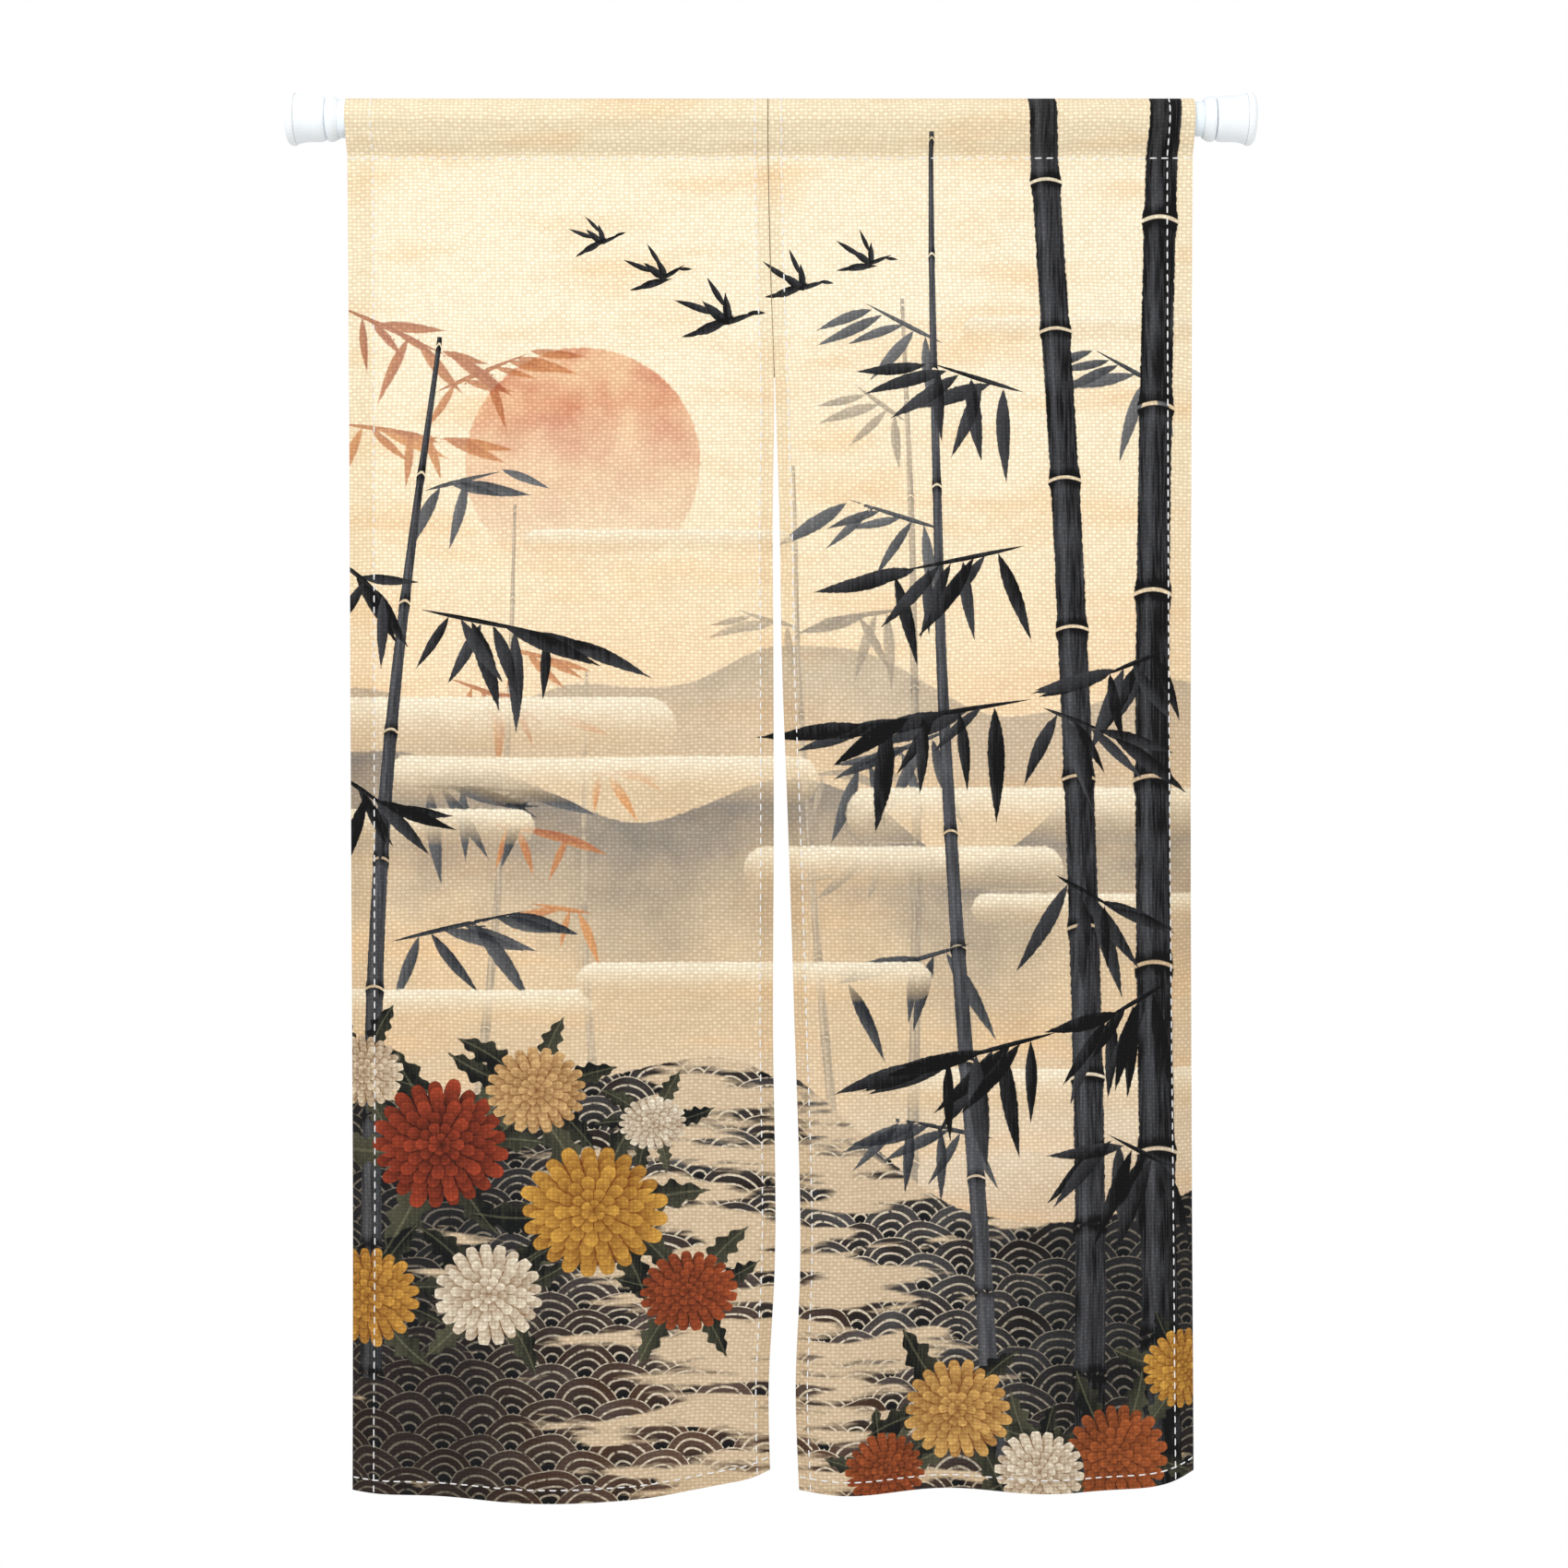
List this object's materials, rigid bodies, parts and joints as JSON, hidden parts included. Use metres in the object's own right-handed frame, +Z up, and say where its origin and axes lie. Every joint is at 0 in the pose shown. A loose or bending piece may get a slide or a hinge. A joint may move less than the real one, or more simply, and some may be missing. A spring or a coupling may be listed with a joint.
{
  "type": "noren curtain with tension rod",
  "caption": "Doorway curtain: printed cloth panels sewn together at the top and split below, hung by a sewn pocket on a telescoping tension rod.",
  "frame": {"origin": "centre of the left foot's face on the rod's axis, where the rod presses on the doorway's side", "axes": "+X along the rod to its right end, +Y away from the printed side, +Z up; millimetre sizes in the source are metres here"},
  "size_m": [0.984, 0.0536, 1.4342],
  "materials": {
    "printed_cloth": "coarse plain-woven polyester, printed on its front, matt",
    "coated_tube": "white plastic-coated steel tube, satin",
    "moulding": "white moulded plastic, soft gloss",
    "foot_rubber": "white rubber, matt"
  },
  "bodies": {
    "root": {"panel_left": "printed_cloth", "panel_right": "printed_cloth", "rod_outer_tube": "coated_tube", "rod_inner_tube": "coated_tube", "rod_collar_left": "moulding", "rod_collar_right": "moulding", "rod_cap_left": "moulding", "rod_cap_right": "moulding", "rod_foot_left": "foot_rubber", "rod_foot_right": "foot_rubber"}
  },
  "joints": []
}
